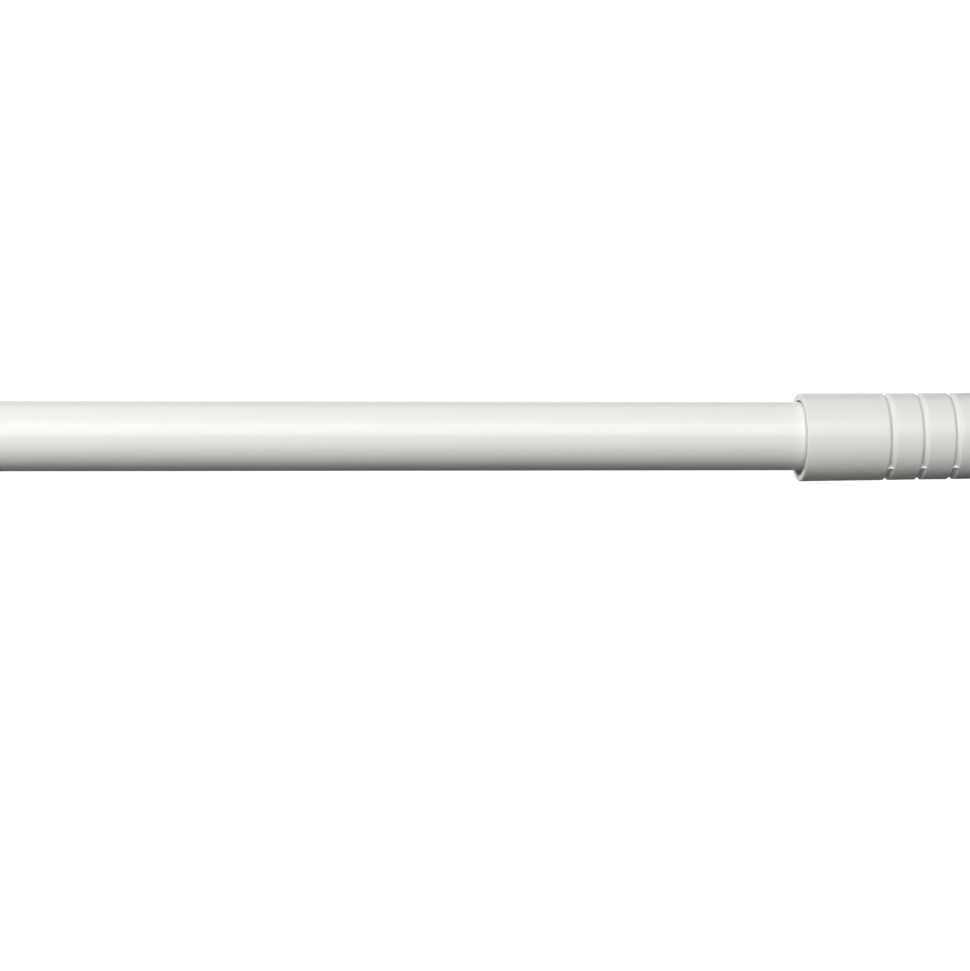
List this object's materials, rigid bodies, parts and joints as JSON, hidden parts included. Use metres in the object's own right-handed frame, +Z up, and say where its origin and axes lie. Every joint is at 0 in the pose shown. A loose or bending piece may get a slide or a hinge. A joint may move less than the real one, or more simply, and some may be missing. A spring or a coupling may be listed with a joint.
{
  "type": "curtain rod with brackets",
  "caption": "Telescoping off-white curtain rod with ribbed end caps, held in open cradles on adjustable wall brackets.",
  "frame": {"origin": "middle of the left wall plate's back face, on the wall", "axes": "+X along the rod, +Y into the wall, +Z up"},
  "size_m": [0.9662, 0.1323, 0.088],
  "materials": {
    "tube_paint": "smooth off-white baked paint, satin to semi-gloss",
    "cap_plastic": "off-white moulded plastic, semi-gloss",
    "plug_plastic": "natural white moulded plastic, matt",
    "bracket_paint": "off-white powder coat, satin",
    "zinc_steel": "bright zinc plate"
  },
  "bodies": {
    "wall_side": {"left_wall_plate": "bracket_paint", "left_upper_wall_screw": "zinc_steel", "left_lower_wall_screw": "zinc_steel", "right_wall_plate": "bracket_paint", "right_upper_wall_screw": "zinc_steel", "right_lower_wall_screw": "zinc_steel"},
    "outer_rod": {"outer_tube": "tube_paint"},
    "inner_rod": {"inner_tube": "tube_paint"},
    "left_arm": {"left_arm": "bracket_paint", "left_cradle": "bracket_paint", "left_cradle_screw": "zinc_steel"},
    "left_cap": {"left_end_cap": "cap_plastic", "left_cap_plug": "plug_plastic"},
    "right_arm": {"right_arm": "bracket_paint", "right_cradle": "bracket_paint", "right_cradle_screw": "zinc_steel"},
    "right_cap": {"right_end_cap": "cap_plastic", "right_cap_plug": "plug_plastic"},
    "left_arm_lock_screw": {"left_arm_lock_screw": "zinc_steel"},
    "left_arm_lock_screw_knob": {"left_arm_lock_screw_knob": "bracket_paint"},
    "left_rod_lock_screw": {"left_rod_lock_screw": "zinc_steel"},
    "left_rod_lock_screw_knob": {"left_rod_lock_screw_knob": "bracket_paint"},
    "right_arm_lock_screw": {"right_arm_lock_screw": "zinc_steel"},
    "right_arm_lock_screw_knob": {"right_arm_lock_screw_knob": "bracket_paint"},
    "right_rod_lock_screw": {"right_rod_lock_screw": "zinc_steel"},
    "right_rod_lock_screw_knob": {"right_rod_lock_screw_knob": "bracket_paint"}
  },
  "joints": [
    {"name": "left_arm_reach", "type": "slide", "parent": "wall_side", "child": "left_arm", "axis": [0, -1, 0], "range_m": [-0.012, 0.012]},
    {"name": "right_arm_reach", "type": "slide", "parent": "wall_side", "child": "right_arm", "axis": [0, -1, 0], "range_m": [-0.012, 0.012]},
    {"name": "rod_lift", "type": "slide", "parent": "left_arm", "child": "inner_rod", "axis": [0, 0, 1], "range_m": [0, 0.06]},
    {"name": "rod_extend", "type": "slide", "parent": "inner_rod", "child": "outer_rod", "axis": [1, 0, 0], "range_m": [-0.22, 0.255]},
    {"name": "left_cap_pull", "type": "slide", "parent": "inner_rod", "child": "left_cap", "axis": [-1, 0, 0], "range_m": [0, 0.06]},
    {"name": "right_cap_pull", "type": "slide", "parent": "outer_rod", "child": "right_cap", "axis": [1, 0, 0], "range_m": [0, 0.06]},
    {"name": "left_arm_lock_travel", "type": "slide", "parent": "wall_side", "child": "left_arm_lock_screw", "axis": [0, 0, -1], "range_m": [0, 0.004]},
    {"name": "left_arm_lock_turn", "type": "hinge", "parent": "left_arm_lock_screw", "child": "left_arm_lock_screw_knob", "pos_m": [0, -0.032, -0.02], "axis": [0, 0, -1], "range_deg": [0, 1800]},
    {"name": "left_rod_lock_travel", "type": "slide", "parent": "left_arm", "child": "left_rod_lock_screw", "axis": [0, 0, -1], "range_m": [0, 0.004]},
    {"name": "left_rod_lock_turn", "type": "hinge", "parent": "left_rod_lock_screw", "child": "left_rod_lock_screw_knob", "pos_m": [0, -0.088, -0.02], "axis": [0, 0, -1], "range_deg": [0, 1800]},
    {"name": "right_arm_lock_travel", "type": "slide", "parent": "wall_side", "child": "right_arm_lock_screw", "axis": [0, 0, -1], "range_m": [0, 0.004]},
    {"name": "right_arm_lock_turn", "type": "hinge", "parent": "right_arm_lock_screw", "child": "right_arm_lock_screw_knob", "pos_m": [0.515, -0.032, -0.02], "axis": [0, 0, -1], "range_deg": [0, 1800]},
    {"name": "right_rod_lock_travel", "type": "slide", "parent": "right_arm", "child": "right_rod_lock_screw", "axis": [0, 0, -1], "range_m": [0, 0.004]},
    {"name": "right_rod_lock_turn", "type": "hinge", "parent": "right_rod_lock_screw", "child": "right_rod_lock_screw_knob", "pos_m": [0.515, -0.088, -0.02], "axis": [0, 0, -1], "range_deg": [0, 1800]}
  ],
  "couplings": [
    {"joint": "right_arm_reach", "follows": "left_arm_reach", "ratio": 1},
    {"joint": "left_arm_lock_turn", "follows": "left_arm_lock_travel", "rad_per_m": 7854},
    {"joint": "left_rod_lock_turn", "follows": "left_rod_lock_travel", "rad_per_m": 7854},
    {"joint": "right_arm_lock_turn", "follows": "right_arm_lock_travel", "rad_per_m": 7854},
    {"joint": "right_rod_lock_turn", "follows": "right_rod_lock_travel", "rad_per_m": 7854}
  ]
}
